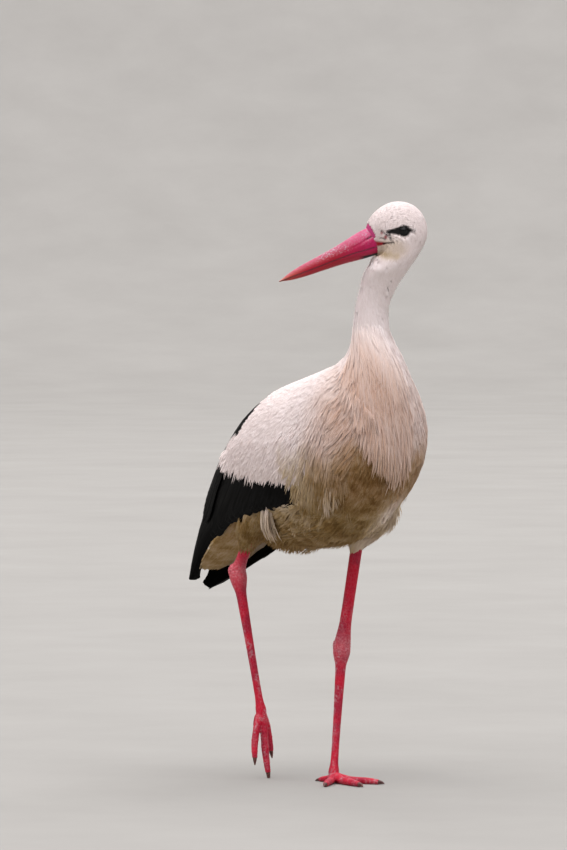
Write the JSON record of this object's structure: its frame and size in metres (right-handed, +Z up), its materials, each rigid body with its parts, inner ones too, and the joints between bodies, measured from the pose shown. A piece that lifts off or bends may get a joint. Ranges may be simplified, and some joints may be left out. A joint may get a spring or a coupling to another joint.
{
  "type": "white stork model",
  "caption": "Life-size still model of a white stork standing on one leg at the end of a step, head turned to its right.",
  "frame": {"origin": "on the floor under the middle of the bird's bounding box", "axes": "+Z up, the body faces -Y, the bird's left side is +X"},
  "size_m": [0.2449, 0.5658, 0.8452],
  "materials": {
    "white_plumage": "soft matt feathers",
    "belly_plumage": "soiled downy feathers",
    "black_plumage": "satin flight feathers",
    "bill_red": "horn, satin",
    "leg_red": "scaly skin",
    "eye_dark": "wet gloss",
    "claw_brown": "horn, dull"
  },
  "bodies": {
    "root": {"bill_lower": "bill_red", "bill_upper": "bill_red", "breast": "white_plumage", "claw_left_hind": "claw_brown", "claw_left_inner": "claw_brown", "claw_left_middle": "claw_brown", "claw_left_outer": "claw_brown", "claw_right_hind": "claw_brown", "claw_right_inner": "claw_brown", "claw_right_middle": "claw_brown", "claw_right_outer": "claw_brown", "eye_left": "eye_dark", "eye_right": "eye_dark", "head": "white_plumage", "neck_lower": "white_plumage", "neck_middle": "white_plumage", "neck_upper": "white_plumage", "shank_left": "leg_red", "shank_right": "leg_red", "tail": "white_plumage", "tarsus_left": "leg_red", "tarsus_right": "leg_red", "thigh_left": "belly_plumage", "thigh_right": "belly_plumage", "toe_left_hind": "leg_red", "toe_left_inner": "leg_red", "toe_left_middle": "leg_red", "toe_left_outer": "leg_red", "toe_right_hind": "leg_red", "toe_right_inner": "leg_red", "toe_right_middle": "leg_red", "toe_right_outer": "leg_red", "trunk": "belly_plumage", "wing_left_coverts": "white_plumage", "wing_left_primaries": "black_plumage", "wing_left_secondaries": "black_plumage", "wing_left_tertials": "black_plumage", "wing_right_coverts": "white_plumage", "wing_right_primaries": "black_plumage", "wing_right_secondaries": "black_plumage", "wing_right_tertials": "black_plumage"}
  },
  "joints": []
}
